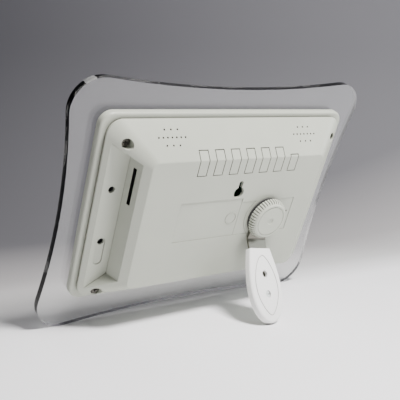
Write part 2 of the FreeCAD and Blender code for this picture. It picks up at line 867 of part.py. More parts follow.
def keyhole():
    return [
        rod("keyhole_round", "keyhole_radius", "keyhole_x", "keyhole_z", THROUGH_BACK),
        box("keyhole_slit", ("keyhole_x - keyhole_neck / 2", "keyhole_x + keyhole_neck / 2"), THROUGH_BACK,
            ("keyhole_z", "keyhole_z + keyhole_reach")),
        rod("keyhole_end", "keyhole_neck / 2", "keyhole_x", "keyhole_z + keyhole_reach", THROUGH_BACK),
    ]


def side_openings():
    """Card slot in the recess wall, two socket holes in the ledge, and the plug's channel."""
    through = ("ledge_under - past", "ledge_level + past")
    channel = ("ledge_level - channel_depth", "ledge_level + 2 * past")
    return [
        box("card_slot", ("recess_foot - wall * 4", "recess_foot + wall"),
            ("slot_level", "slot_level + slot_width"), ("slot_low", "slot_high")),
        rod("phone_hole", "jack_hole", "jack_x", "phone_jack_z", through),
        rod("power_hole", "jack_hole", "jack_x", "power_jack_z", through),
        rod("channel_top", "channel_radius", "jack_x", "power_jack_z", channel),
        rod("channel_foot", "channel_radius", "jack_x", "channel_end + channel_radius", channel),
        box("channel_run", ("jack_x - channel_radius", "jack_x + channel_radius"), channel,
            ("channel_end + channel_radius", "power_jack_z")),
    ]


def back_marks():
    """Two shallow label recesses; the knob stands on a round island in the second."""
    label = box("label_recess", ("label_split", "label_left"),
                ("cover_depth - label_depth", "cover_depth + past"), ("label_bottom", "label_top"))
    knob_label = box("knob_label_recess", ("label_right", "label_split"),
                     ("cover_depth - knob_label_depth", "cover_depth + past"),
                     ("label_bottom", "knob_label_top"))
    island = rod("knob_island", "island_radius", "stand_x", "stand_z",
                 ("cover_depth - past", "cover_depth + 2 * past"))
    return [label, cut("knob_label_cut", knob_label, [island])]


# ---------------------------------------------------------------- boards and what is on them


def board_screw_places():
    """X and Z of the four posts that carry the main board, as formulas."""
    return [
        ("board_left - post_inset", "board_bottom + post_inset"),
        ("board_right + post_inset", "board_bottom + post_inset"),
        ("board_right + post_inset", "board_top - post_inset"),
        ("board_left - post_inset", "slot_low - socket_margin - socket_post_gap"),
    ]


def key_post_places():
    """The key board's posts stand midway between two keys."""
    return ["key_first - key_pitch * 1.5", "key_first - key_pitch * 4.5"]


def make_main_board():
    outline = polygon([
        (d.board_right, d.board_bottom), (d.board_left, d.board_bottom), (d.board_left, d.board_tab_top),
        (d.board_tab_left, d.board_tab_top), (d.board_tab_left, d.board_top), (d.board_right, d.board_top)])
    blank = plate("board_blank", outline, ("board_level", "board_back"))
    holes = [rod("board_hole_%d" % index, "board_screw_radius + running_gap * 4", x, z,
                 ("board_level - past", "board_back + past"))
             for index, (x, z) in enumerate(board_screw_places())]
    return cut("main_board", blank, holes)


def make_board_components():
    """Chips, coils and capacitors: name, middle X and Z, width, height and thickness."""
    left = d.board_left
    right = d.board_right
    top = d.board_top
    bottom = d.board_bottom
    chips = (
        ("processor", left - 76, top - 32, 20, 20, 1.5),
        ("memory", left - 76, top - 11, 18, 8, 1.2),
        ("flash", left - 46, top - 16, 12, 18, 1.2),
        ("power_chip", left - 22, bottom + 32, 6, 6, 1.5),
        ("coil", left - 22, bottom + 18, 8, 8, 4.0),
        ("crystal", right + 44, top - 11, 11, 4.5, 3.2),
        ("lamp_driver", right + 18, bottom + 16, 8, 6, 1.6),
        ("speaker_plug", right + 10, top - 25, 5, 6, 4.0),
        ("reset_switch", d.reset_x, d.reset_z, 4, 4, 3.0),
    )
    parts = []
    for name, x, z, width, height, thick in chips:
        parts.append(box(name, (str(x - width / 2), str(x + width / 2)),
                         ("board_back", "board_back + %s" % thick),
                         (str(z - height / 2), str(z + height / 2))))
    for index, x in enumerate((left - 40, left - 32)):
        parts.append(rod("capacitor_%d" % index, "capacitor_radius", str(x), "board_bottom + 8",
                         ("board_back", "board_back + capacitor_height")))
    return group("board_components", parts)


def screw_along_y(name, shank, head, x, z, head_span, tip):
    """A pan-head screw that points backwards, its head towards the display."""
    return fuse(name, [rod(name + "_head", head, x, z, head_span),
                       rod(name + "_shank", shank, x, z, (head_span[1], tip))])


def make_board_screws():
    screws = []
    places = [(x, z, "board_level", "board_back") for x, z in board_screw_places()]
    places += [(x, "switch_z", "key_board_level", "key_board_back") for x in key_post_places()]
    for index, (x, z, level, seat) in enumerate(places):
        screws.append(screw_along_y("board_screw_%d" % index, "board_screw_radius", "board_head_radius", x, z,
                                    (level + " - board_head_height", level), seat + " + board_screw_bite"))
    return group("board_screws", screws)


def make_case_screws():
    """Driven from the back: the head lies on the floor of its well."""
    screws = []
    for index, (x, z) in enumerate(case_screw_places()):
        head = rod("case_head_%d" % index, "case_head_radius", x, z,
                   ("ledge_level", "ledge_level + case_head_height"))
        shank = rod("case_shank_%d" % index, "case_screw_radius", x, z, ("pocket_level + past", "ledge_level"))
        whole = fuse("case_whole_%d" % index, [head, shank])
        slots = [cross_slot("case_slot_%d%s" % (index, axis), x, z, axis) for axis in ("x", "z")]
        screws.append(cut("case_screw_%d" % index, whole, slots))
    return group("case_screws", screws)


def cross_slot(name, x, z, axis):
    """One bar of the cross in a case screw's head."""
    long_reach = "driver_slot_reach"
    short_reach = "driver_slot / 2"
    x_reach = long_reach if axis == "x" else short_reach
    z_reach = short_reach if axis == "x" else long_reach
    return box(name, (x + " - " + x_reach, x + " + " + x_reach),
               ("ledge_level + case_head_height / 3", "ledge_level + case_head_height + past"),
               (z + " - " + z_reach, z + " + " + z_reach))


def make_card_socket():
    """An open metal box; its mouth stays clear of the leaning wall that the slot is cut in."""
    lean = math.tan(math.radians(d.recess_lean))
    mouth = "(recess_foot - wall - socket_gap - (slot_level + slot_width - ledge_level) * %.6f)" % lean
    block = box("socket_block", (mouth + " - socket_length", mouth),
                ("board_back", "board_back + socket_height"),
                ("slot_low - socket_margin", "slot_high + socket_margin"))
    throat = box("socket_throat", (mouth + " - socket_length + socket_back", mouth + " + past"),
                 ("card_level - card_thick / 2", "card_level + card_thick / 2"),
                 ("slot_low + card_side_gap", "slot_high - card_side_gap"))
    return cut("card_socket", block, [throat])


def make_coin_cell():
    reach = "(cell_radius + holder_wall)"
    holder = box("holder_block", ("cell_x - " + reach, "cell_x + " + reach),
                 ("board_back", "board_back + holder_height"),
                 ("cell_z - holder_half", "cell_z + holder_half"))
    seat = rod("holder_seat", "cell_radius + running_gap * 2", "cell_x", "cell_z",
               ("cell_floor", "cell_floor + cell_thick + past"))
    cut("cell_holder", holder, [seat])
    cell = rod("cell_disc", "cell_radius", "cell_x", "cell_z", ("cell_floor", "cell_floor + cell_thick"))
    piece("coin_cell", cell)
    return ["cell_holder", "coin_cell"]


def make_jacks():
    strip = box("jack_strip", ("jack_x - jack_board_width / 2", "jack_x + jack_board_width / 2"),
                ("pocket_level", "jack_front"), ("jack_board_bottom", "jack_board_top"))
    piece("jack_board", strip)
    sides = ("jack_x - jack_width / 2", "jack_x + jack_width / 2")
    sockets = (("phone_jack", "phone_jack_z", "phone_bore"), ("power_jack", "power_jack_z", "power_bore"))
    for name, z, bore in sockets:
        block = box(name + "_block", sides, ("jack_front", "ledge_under"),
                    (z + " - jack_height / 2", z + " + jack_height / 2"))
        hole = rod(name + "_bore", bore, "jack_x", z, ("jack_front + jack_floor", "ledge_under + past"))
        if name == "phone_jack":
            cut(name, block, [hole])
        else:
            pin = rod(name + "_pin", "power_pin", "jack_x", z,
                      ("jack_front + jack_floor / 2", "ledge_under - jack_floor"))
            fuse(name, [cut(name + "_shell", block, [hole]), pin])
    return ["jack_board", "phone_jack", "power_jack"]


# ---------------------------------------------------------------- keys


def make_key_board():
    ends = ("key_first - key_pitch * (key_count - 1) - key_width", "key_first + key_width")
    blank = box("key_board_blank", ends, ("key_board_level", "key_board_back"),
                ("key_board_low", "key_board_high"))
    holes = [rod("key_board_hole_%d" % index, "board_screw_radius + running_gap * 4", x, "switch_z",
                 ("key_board_level - past", "key_board_back + past"))
             for index, x in enumerate(key_post_places())]
    return cut("key_board", blank, holes)


def make_key_switches():
    half = "switch_size / 2"
    bodies = []
    for index, x in enumerate(key_places()):
        block = box("switch_block_%d" % index, (x + " - " + half, x + " + " + half),
                    ("key_board_back", "switch_back"),
                    ("switch_z - " + half, "switch_z + " + half))
        bore = rod("switch_bore_%d" % index, "plunger_radius + running_gap", x, "switch_z",
                   ("switch_back - plunger_hidden - plunger_travel", "switch_back + past"))
        bodies.append(cut("switch_body_%d" % index, block, [bore]))
    return group("key_switches", bodies)


def key_outline(top):
    """Section of a key in Y and Z: it lies flush with the back and folds over the ridge."""
    inner_level = d.key_inner
    end_level = slope_level(top)
    ridge = (d.cover_depth, d.back_top)
    low = (d.cover_depth, d.key_low)
    end = (end_level, top)
    start, middle, finish = corner_round(ridge, low, end, d.ridge_round * 0.6)
    inner_end = (end_level - d.key_thick * math.hypot(1, 1 / top_slope), top)
    inner_ridge = (inner_level, top - (inner_level - inner_end[0]) * top_slope)
    inner_low = (inner_level, d.key_low)
    lines = [Part.LineSegment(Vector(*low, 0), Vector(*start, 0)), arc([start, middle, finish])]
    rest = [finish, end, inner_end, inner_ridge, inner_low, low]
    for first, second in zip(rest, rest[1:]):
        lines.append(Part.LineSegment(Vector(*first, 0), Vector(*second, 0)))
    return lines


def make_keys():
    names = []
    for index, (x, top) in enumerate(zip(key_places(), key_tops())):
        number = index + 1
        high = {"key_high": d.key_high, "last_key_high": d.last_key_high}[top]
        cap = bar("key_cap_%d" % number, key_outline(high), (x + " - key_width / 2", x + " + key_width / 2"))
        flange = box("key_flange_%d" % number,
                     (x + " - key_width / 2 - key_flange", x + " + key_width / 2 + key_flange"),
                     ("key_under", "key_inner"),
                     ("key_low - key_flange", "key_low - key_flange + key_flange_height"))
        stem = rod("key_stem_%d" % number, "plunger_radius", x, "switch_z",
                   ("plunger_back", "key_under"))
        fuse("key_%d" % number, [cap, flange, stem])
        pin = rod("plunger_pin_%d" % number, "plunger_radius", x, "switch_z",
                  ("switch_back - plunger_hidden", "plunger_back"))
        piece("plunger_%d" % number, pin)
        names += ["key_%d" % number, "plunger_%d" % number]
    return names


# ---------------------------------------------------------------- speakers


def make_speakers():
    """Flat oval speakers that lie against the inside of the upper slope."""
    lean = math.degrees(math.atan(top_slope))
    turn = Rotation(Vector(1, 0, 0), -lean)
    surface = Vector(0, d.speaker_level, d.rim_top - (d.speaker_level - d.slope_start) * top_slope)
    outward = turn.multVec(Vector(0, 0, 1))
    dish_radius = d.speaker_height * 0.4
    names = []
    for name, side in (("speaker_left", 1), ("speaker_right", -1)):
        basket = document.addObject("Part::Box", name + "_basket")
        bind(basket, "Length", "speaker_length")
        bind(basket, "Width", "speaker_height")
        bind(basket, "Height", "speaker_thick")
        depth = d.wall + d.running_gap + d.speaker_thick
        corner = Vector(-d.speaker_length / 2, -d.speaker_height / 2, 0)
        middle = surface - outward * depth
        middle.x = side * d.speaker_x
        basket.Placement = Placement(middle + turn.multVec(corner), turn)

        def upright_edge(edge):
            direction = edge.tangentAt(edge.FirstParameter)
            return abs(direction.dot(outward)) > 0.999

        document.recompute()
        soft = rounded(name + "_frame", basket, upright_edge, dish_radius)
        cone_space = document.addObject("Part::Cylinder", name + "_dish")
        cone_space.Radius = dish_radius
        bind(cone_space, "Height", "speaker_thick")
        dish = middle + outward * (d.speaker_thick - d.dish_depth)
        cone_space.Placement = Placement(dish, turn)
        cut(name, soft, [cone_space])
        names.append(name)
    return names


# ---------------------------------------------------------------- stand


def make_bolt():
    head = box("bolt_head_block", ("-bolt_head / 2", "bolt_head / 2"),
               ("bolt_seat - bolt_head_thick", "bolt_seat"),
               ("-bolt_head / 2", "bolt_head / 2"))
    shank = rod("bolt_shank", "bolt_radius", "0", "0", ("bolt_seat", "bolt_tip"))
    return fuse("stand_bolt", [head, shank])


def make_washer():
    blank = rod("washer_blank", "washer_radius", "0", "0", ("cover_depth", "cover_depth + washer_thick"))
    hole = rod("washer_hole", "bolt_radius + running_gap * 2", "0", "0", ("cover_depth - past", "bolt_tip"))
    return cut("stand_washer", blank, [hole])


leg_turn = math.radians(d.leg_out)


def bend_point():
    """Where the middle of the strip bends, in the stand's frame."""
    return Vector(0, (d.bracket_front + d.bracket_back) / 2, -d.bracket_bend)


def leg_direction():
    return Vector(0, math.sin(leg_turn), -math.cos(leg_turn))


def leg_outward():
    return Vector(0, math.cos(leg_turn), math.sin(leg_turn))


def leg_in_stand():
    """The leg's own frame: its outer face at Y = 0, with the bracket midway through the leg."""
    origin = bend_point() + leg_direction() * d.leg_start + leg_outward() * d.leg_shell
    return Placement(origin, Rotation(Vector(1, 0, 0), d.leg_out))


def bracket_outline():
    """Strip bent once: flat under the knob, then out into the leg."""
    half = d.bracket_thick / 2
    top = d.bracket_width / 2
    shift = half * math.tan(leg_turn / 2)
    tip = leg_direction() * (d.leg_start + d.tang_length) + bend_point()
    inner_bend = (d.bracket_front, -d.bracket_bend - shift)
    outer_bend = (d.bracket_back, -d.bracket_bend + shift)
    inner_end = tip - leg_outward() * half
    outer_end = tip + leg_outward() * half
    inner_top = (d.bracket_front, top)
    outer_top = (d.bracket_back, top)
    inner_end = (inner_end.y, inner_end.z)
    outer_end = (outer_end.y, outer_end.z)
    inner_arc = corner_round(inner_bend, inner_top, inner_end, d.bracket_bend_radius + d.bracket_thick)
    outer_arc = corner_round(outer_bend, outer_top, outer_end, d.bracket_bend_radius)
    chain = [
        (inner_top, inner_arc[0]), inner_arc, (inner_arc[2], inner_end), (inner_end, outer_end),
        (outer_end, outer_arc[2]), outer_arc, (outer_arc[0], outer_top), (outer_top, inner_top)]
    lines = []
    for points in chain:
        if len(points) == 3:
            lines.append(arc(points))
        else:
            lines.append(Part.LineSegment(Vector(*points[0], 0), Vector(*points[1], 0)))
    return lines


def make_bracket():
    strip = bar("bracket_strip", bracket_outline(), ("-bracket_width / 2", "bracket_width / 2"))

    def eye_corner(edge):
        limits = edge.BoundBox
        upright_edge = limits.XLength < 0.01 and limits.ZLength < 0.01
        return upright_edge and limits.ZMin > 0

    eye = rounded("bracket_eye", strip, eye_corner, d.bracket_width / 2 - d.leg_fit)
    bore = rod("bracket_bore", "bolt_radius + running_gap", "0", "0", ("cover_depth", "bolt_tip"))
    holes = [leg_hole("bracket_bore", "leg_bore_at", "leg_bore_radius + leg_fit"),
             leg_hole("bracket_screw_hole", "leg_screw_at", "leg_screw_radius + leg_fit")]
    return cut("stand_bracket", eye, [bore] + holes)


def leg_hole(name, place, radius):
    """A hole across the leg, placed in the stand's frame."""
    hole = rod(name, radius, "0", "-" + place, ("-leg_thick * 2", "leg_thick"))
    holder = document.addObject("Part::Compound", name + "_placed")
    holder.Links = [hole]
    holder.Placement = leg_in_stand()
    return holder


def knob_section():
    """Half section of the knob in X and Y, from its hollow underside to its face."""
    base = d.knob_base
    face = base + d.knob_height
    seat = d.insert_radius + d.running_gap
    seat_end = base + d.insert_length
    ring = d.knob_face_radius - d.knob_ring_inset
    return polygon([
        (seat, base), (d.knob_radius, base), (d.knob_radius - d.knob_taper, base + d.knob_rim_height),
        (d.knob_face_radius, face), (ring, face), (ring - d.knob_ring_width / 2, face - d.knob_ring_depth),
        (ring - d.knob_ring_width, face), (d.knob_dimple_radius, face),
        (d.knob_dimple_radius - d.knob_dimple_depth, face - d.knob_dimple_depth),
        (0, face - d.knob_dimple_depth), (0, seat_end), (seat, seat_end)])


def rib_outline(floor):
    """A ring of blunt teeth whose valleys reach in to the floor radius."""
    top = d.knob_radius + d.past
    count = int(d.knob_ribs)
    points = []
    for rib in range(count):
        for share, radius in ((0.0, top), (0.50, top), (0.62, floor), (0.88, floor)):
            angle = 2 * math.pi * (rib + share) / count
            points.append((radius * math.cos(angle), radius * math.sin(angle)))
    return polygon(points)


def make_knob():
    """Ribs stand all round the rim; the valleys between them rise towards the face."""
    solid = turned("knob_solid", knob_section())
    ribs = loft("knob_ribs_outline", rib_outline(d.knob_radius - d.knob_rib_depth),
                rib_outline(d.knob_face_radius + d.knob_rib_end), ("knob_base", "knob_base + knob_height"))
    return common("stand_knob", solid, ribs)


def make_insert():
    blank = rod("insert_blank", "insert_radius", "0", "0", ("knob_base", "knob_base + insert_length"))
    bore = rod("insert_bore", "bolt_radius + running_gap", "0", "0",
               ("knob_base - past", "knob_base + insert_length + past"))
    return cut("knob_insert", blank, [bore])


# ---------------------------------------------------------------- leg


def leg_half_width(along):
    """Half width of the leg: it swells to its widest place and closes in an ellipse."""
    if along <= d.leg_wide_at:
        share = math.sin(math.pi / 2 * along / d.leg_wide_at)
        return d.leg_top_half + (d.leg_wide_half - d.leg_top_half) * share
    share = (along - d.leg_wide_at) / (d.leg_length - d.leg_wide_at)
    return d.leg_wide_half * math.sqrt(max(0.0, 1 - share ** 2))


def leg_outline():
    """The leg's outline in X and Z, hanging down from Z = 0."""
    swell_steps = 6
    close_steps = 8
    swelling = [d.leg_wide_at * step / swell_steps for step in range(swell_steps + 1)]
    closing = [d.leg_wide_at + (d.leg_length - d.leg_wide_at) * math.sin(math.pi / 2 * step / close_steps)
               for step in range(1, close_steps)]
    right = [Vector(leg_half_width(along), -along, 0) for along in swelling + closing]
    left = [Vector(-point.x, point.y, 0) for point in reversed(right)]
    curve = Part.BSplineCurve()
    curve.interpolate(right + [Vector(0, -d.leg_length, 0)] + left)
    return [curve, Part.LineSegment(left[-1], right[0])]


def slot_blank(name):
    """The space between the shells that holds the end of the bracket."""
    reach = "(bracket_width / 2 + leg_fit)"
    depth = "(bracket_thick / 2 + leg_fit)"
    return box(name, ("-" + reach, reach), ("-leg_shell - " + depth, "-leg_shell + " + depth),
               ("-tang_length - leg_fit", "past"))


def leg_tools(name, is_outer):
    """The slot for the bracket, the deep bore, and the screw's hole with its sunk head."""
    floor = "leg_screw_floor - leg_thick"
    tools = [
        slot_blank(name + "_slot"),
        rod(name + "_bore", "leg_bore_radius", "0", "-leg_bore_at", (floor, "past")),
        rod(name + "_screw_hole", "leg_screw_radius + leg_fit / 2", "0", "-leg_screw_at", (floor, "past"))]
    if is_outer:
        outer_mark = leg_mark(0)
        inner_mark = leg_mark(d.leg_mark_width)
        tools.append(plate("leg_mark_groove", outer_mark + inner_mark, ("-leg_mark_depth", "past")))
        tools.append(rod("leg_screw_seat", "leg_screw_head + leg_fit", "0", "-leg_screw_at",
                         ("-leg_screw_sink", "past")))
    return tools


def leg_mark(inset):
    """A teardrop round both holes, inside the leg's outline."""
    count = 16
    start = d.leg_mark_margin + inset
    half = (d.leg_length - 2 * start) / 2
    points = []
    for step in range(count):
        turn = 2 * math.pi * step / count
        along = start + half * (1 - math.cos(turn))
        reach = leg_half_width(along) * d.leg_mark_share - inset
        points.append(Vector(reach * math.sin(turn), -along, 0))
    curve = Part.BSplineCurve()
    curve.interpolate(points, True)
    return [curve]


def make_leg():
    shells = (("leg_outer", ("-leg_shell", "0"), 0.0),
              ("leg_inner", ("-leg_thick", "-leg_shell"), -d.leg_thick))
    for name, span, face in shells:
        block = plate(name + "_block", leg_outline(), span)

        def face_edge(edge, face=face):
            limits = edge.BoundBox
            flat = abs(limits.YMin - face) < 0.01 and abs(limits.YMax - face) < 0.01
            return flat and limits.ZMin < -1

        soft = rounded(name + "_soft", block, face_edge, d.leg_edge_round)
        cut(name, soft, leg_tools(name, name == "leg_outer"))
    head = rod("leg_head", "leg_screw_head", "0", "-leg_screw_at", ("-leg_screw_sink", "-leg_screw_sink / 3"))
    shank = rod("leg_shank", "leg_screw_radius", "0", "-leg_screw_at",
                ("leg_screw_floor + leg_fit - leg_thick", "-leg_screw_sink"))
    slot = box("leg_screw_slot", ("-leg_screw_head * 0.7", "leg_screw_head * 0.7"),
               ("-leg_screw_sink * 0.75", "past"),
               ("-leg_screw_at - driver_slot / 2", "-leg_screw_at + driver_slot / 2"))
    cut("leg_screw", fuse("leg_screw_whole", [head, shank]), [slot])
    return ["leg_outer", "leg_inner", "leg_screw"]


# ---------------------------------------------------------------- frames of the moving pieces

AT_KNOB = Placement(Vector(d.stand_x, 0, d.stand_z), Rotation())
STAND = AT_KNOB.multiply(Placement(Vector(), Rotation(Vector(0, 1, 0), -d.swing)))
LEG = STAND.multiply(leg_in_stand())

make_panel()
make_tape()
make_bezel()
display = make_display()
make_cover()
make_main_board()
make_board_components()
make_board_screws()
make_case_screws()
make_card_socket()
cell = make_coin_cell()
jacks = make_jacks()
make_key_board()
make_key_switches()
keys = make_keys()
speakers = make_speakers()
make_bolt()
make_washer()
make_bracket()
make_knob()
make_insert()
leg = make_leg()

HOUSING = ["acrylic_panel", "adhesive_frame", "front_bezel"] + display
HOUSING += ["rear_cover", "case_screws", "main_board", "board_components", "board_screws", "card_socket"]
HOUSING += cell + jacks + ["key_board", "key_switches"] + keys + speakers
frames = {name: Placement() for name in HOUSING}
frames.update({name: AT_KNOB for name in ("stand_bolt", "stand_washer", "stand_knob", "knob_insert")})
frames["stand_bracket"] = STAND
frames.update({name: LEG for name in leg})

document.recompute()


# ---------------------------------------------------------------- leaning the frame back


def lowest(points, lean):
    """Lowest point once the panel leans back by an angle."""
    return min(point.z * math.cos(lean) - point.y * math.sin(lean) for point in points)


def outline_points(names):
    points = []
    for name in names:
        shape = document.getObject(name).Shape.copy()
        shape.Placement = frames[name].multiply(shape.Placement)
        points += shape.tessellate(0.02)[0]
    return points


def resting_lean():
    """The lean at which the panel's lower edge and the leg stand on one level."""
    panel = outline_points(["acrylic_panel"])
    foot = outline_points(["leg_outer", "leg_inner"])
    small, large = 0.0, math.radians(60)
    for _ in range(60):
        middle = (small + large) / 2
        if lowest(foot, middle) > lowest(panel, middle):
            small = middle
        else:
            large = middle
    return (small + large) / 2, panel, foot


lean, panel_points, foot_points = resting_lean()
leaning = Placement(Vector(), Rotation(Vector(1, 0, 0), -math.degrees(lean)))
back_to_front = []
for name, frame in frames.items():
    shape = document.getObject(name).Shape.copy()
    shape.Placement = leaning.multiply(frame).multiply(shape.Placement)
    back_to_front.append(shape)
limits = Part.Compound(back_to_front).optimalBoundingBox(False)
rise = -lowest(panel_points, lean)
stand_on_floor = Placement(Vector(0, -(limits.YMin + limits.YMax) / 2, rise), Rotation()).multiply(leaning)

for name, frame in frames.items():
    item = document.getObject(name)
    item.Placement = stand_on_floor.multiply(frame).multiply(item.Placement)
document.recompute()

for item in document.Objects:
    if "Invalid" in item.State or "Error" in item.State:
        raise RuntimeError("%s failed: %s" % (item.Name, item.State))

os.makedirs("parts", exist_ok=True)
for name in frames:
    item = document.getObject(name)
    item.Label = name
    if item.Shape.isNull() or not item.Shape.isValid():
        raise RuntimeError(name + " has no valid shape")
    item.Shape.exportStep("parts/%s.step" % name)
print("%d pieces" % len(frames))
print("lean %.6f degrees" % math.degrees(lean))
print("housing middle at Y %.6f mm, Z %.6f mm" % (stand_on_floor.Base.y, stand_on_floor.Base.z))
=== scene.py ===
import json
import math

import bpy
from mathutils import Matrix, Vector

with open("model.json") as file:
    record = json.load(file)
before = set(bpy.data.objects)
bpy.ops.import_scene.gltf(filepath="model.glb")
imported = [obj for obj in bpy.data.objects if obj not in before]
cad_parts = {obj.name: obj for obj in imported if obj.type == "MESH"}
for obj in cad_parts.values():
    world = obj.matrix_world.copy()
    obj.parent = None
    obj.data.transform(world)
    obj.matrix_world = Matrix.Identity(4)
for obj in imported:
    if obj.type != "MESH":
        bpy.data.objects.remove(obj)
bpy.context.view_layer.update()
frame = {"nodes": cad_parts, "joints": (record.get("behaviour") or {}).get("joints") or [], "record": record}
nodes = frame["nodes"]

# The panel leans back; its own rear and upward directions are read from the leg's hinge.
hinge = [joint for joint in frame["joints"] if joint["name"] == "leg_swivel"][0]
REAR = Vector(hinge["axis"]).normalized()
UP = Vector((0, -REAR.z, REAR.y))
SIDEWAYS = Vector((1, 0, 0))


def reach(name, direction):
    """How far a node reaches along a direction, at its least and its most."""
    places = [vertex.co.dot(direction) for vertex in nodes[name].data.vertices]
    return min(places), max(places)


# The panel's back face and the middle of the bezel, from which the levels and heights below count.
PANEL_BACK = reach("acrylic_panel", REAR)[1]
MIDDLE = sum(reach("front_bezel", UP)) / 2

# The bezel's back face, as a level over the panel's back, in metres. A tongue rises from it in the
# gap under the cover, and the tongue is what gets painted shade.
GAP_LEVEL = 0.0052
# The painted shade starts and is complete this far above that face, in millimetres.
GAP_START = 0.02
GAP_FULL = 0.2
GAP_SHADE_COLOUR = (0.10, 0.085, 0.06)

# The card slot, as part.py has it, in metres: its level, its lower end and its size.
SLOT_LEVEL = 0.0149
SLOT_WIDTH = 0.0030
SLOT_LENGTH = 0.0249
SLOT_LOW = 0.0098
# The painted shade reaches this much past the slot's walls, and lies between these two distances sideways.
SLOT_MARGIN = 0.00003
SLOT_INNER = 0.05
SLOT_OUTER = 0.10
SLOT_SHADE_COLOUR = (0.015, 0.015, 0.015)

# Painted shade in grooves and narrow gaps: how far it looks for nearby walls, in metres, the openness
# at which it is full and the openness at which there is none, and its colour.
CREVICE_SHADE_WIDTH = 0.0016
CREVICE_SHADE_FULL = 0.22
CREVICE_SHADE_CLEAR = 0.80
CREVICE_SHADE_COLOUR = (0.16, 0.14, 0.11)

# Full colour, where no painted shade falls.
UNSHADED = (1, 1, 1)
WHITE = (0.40, 0.42, 0.355)
MILLIMETRES = 1000.0


# ---------------------------------------------------------------- material helpers


def new_material(name):
    material = bpy.data.materials.new(name)
    material.use_nodes = True
    tree = material.node_tree
    shader = tree.nodes["Principled BSDF"]
    return material, tree, shader


def noise(tree, scale, detail=4.0, stretch=(1, 1, 1)):
    """Noise over the object's own coordinates, in features per metre."""
    place = tree.nodes.new("ShaderNodeTexCoord")
    mapping = tree.nodes.new("ShaderNodeMapping")
    mapping.inputs["Scale"].default_value = stretch
    texture = tree.nodes.new("ShaderNodeTexNoise")
    texture.inputs["Scale"].default_value = scale
    texture.inputs["Detail"].default_value = detail
    tree.links.new(place.outputs["Object"], mapping.inputs["Vector"])
    tree.links.new(mapping.outputs["Vector"], texture.inputs["Vector"])
    return texture.outputs["Fac"]


def ramp(tree, value, stops):
    """Map a value to colours: stops are (position, colour)."""
    item = tree.nodes.new("ShaderNodeValToRGB")
    elements = item.color_ramp.elements
    while len(elements) < len(stops):
        elements.new(0.5)
    for element, (position, colour) in zip(elements, stops):
        element.position = position
        element.color = (*colour, 1)
    tree.links.new(value, item.inputs["Fac"])
    return item.outputs["Color"]


def spread(tree, value, low, high):
    """Stretch a value from nought and one to two other limits."""
    item = tree.nodes.new("ShaderNodeMapRange")
    item.inputs["To Min"].default_value = low
    item.inputs["To Max"].default_value = high
    tree.links.new(value, item.inputs["Value"])
    return item.outputs["Result"]


def bump(tree, shader, value, strength, distance, edge=0.0):
    """Relief from a value, over edges that are shaded as if slightly rounded."""
    item = tree.nodes.new("ShaderNodeBump")
    item.inputs["Strength"].default_value = strength
    item.inputs["Distance"].default_value = distance
    tree.links.new(value, item.inputs["Height"])
    if edge:
        soft = tree.nodes.new("ShaderNodeBevel")
        soft.inputs["Radius"].default_value = edge
        soft.samples = 4
        tree.links.new(soft.outputs["Normal"], item.inputs["Normal"])
    tree.links.new(item.outputs["Normal"], shader.inputs["Normal"])


def calculate(tree, operation, value, number):
    """One step of arithmetic on a value and a plain number."""
    item = tree.nodes.new("ShaderNodeMath")
    item.operation = operation
    item.inputs[1].default_value = number
    tree.links.new(value, item.inputs[0])
    return item.outputs["Value"]


def both(tree, first, second):
    """The product of two values, which is one where both are."""
    item = tree.nodes.new("ShaderNodeMath")
    item.operation = "MULTIPLY"
    tree.links.new(first, item.inputs[0])
    tree.links.new(second, item.inputs[1])
    return item.outputs["Value"]


def along(tree, place, direction, offset=0.0):
    """A position measured along one direction, less an offset."""
    dot = tree.nodes.new("ShaderNodeVectorMath")
    dot.operation = "DOT_PRODUCT"
    dot.inputs[1].default_value = direction
    tree.links.new(place, dot.inputs[0])
    return calculate(tree, "SUBTRACT", dot.outputs["Value"], offset)


def inside(tree, value, low, high):
    """One between two limits and nought outside them."""
    over = calculate(tree, "GREATER_THAN", value, low)
    under = calculate(tree, "LESS_THAN", value, high)
    return both(tree, over, under)


def multiply(tree, first, second):
    """The product of two colours."""
    mix = tree.nodes.new("ShaderNodeMix")
    mix.data_type = "RGBA"
    mix.blend_type = "MULTIPLY"
    mix.inputs[0].default_value = 1.0
    tree.links.new(first, mix.inputs[6])
    tree.links.new(second, mix.inputs[7])
    return mix.outputs[2]


def crevice_shade(tree, tint):
    """Painted shade, darkest in grooves and narrow gaps, from ambient occlusion."""
    hollow = tree.nodes.new("ShaderNodeAmbientOcclusion")
    hollow.samples = 8
    hollow.inputs["Distance"].default_value = CREVICE_SHADE_WIDTH
    stops = [(CREVICE_SHADE_FULL, CREVICE_SHADE_COLOUR), (CREVICE_SHADE_CLEAR, UNSHADED)]
    return multiply(tree, tint, ramp(tree, hollow.outputs["AO"], stops))


def darken(tree, value, stops):
    """Multiply a finished material's colour by colours that follow a value."""
    base_colour = tree.nodes["Principled BSDF"].inputs["Base Color"]
    tint = base_colour.links[0].from_socket
    tree.links.new(multiply(tree, tint, ramp(tree, value, stops)), base_colour)


def shade_of(colour, factor):
    return tuple(min(1.0, channel * factor) for channel in colour)


# ---------------------------------------------------------------- kinds of material


def plastic(name, colour, roughness, grain=2600.0, edge=0.0):
    """Moulded plastic: faint mottling in colour, fine spark-eroded grain, worn patches of gloss."""
    material, tree, shader = new_material(name)
    mottle = noise(tree, scale=38.0, detail=5.0)
    tint = ramp(tree, mottle, [(0.3, shade_of(colour, 0.965)), (0.7, shade_of(colour, 1.02))])
    # Pieces with softened edges also get painted shade in their grooves and gaps.
    if edge:
        tint = crevice_shade(tree, tint)
    tree.links.new(tint, shader.inputs["Base Color"])
    gloss = noise(tree, scale=120.0, detail=3.0)
    worn = spread(tree, gloss, low=roughness - 0.05, high=roughness + 0.07)
    tree.links.new(worn, shader.inputs["Roughness"])
    relief = noise(tree, scale=grain, detail=2.0)
    bump(tree, shader, relief, strength=0.35, distance=0.00003, edge=edge)
    shader.inputs["Specular IOR Level"].default_value = 0.45
    return material


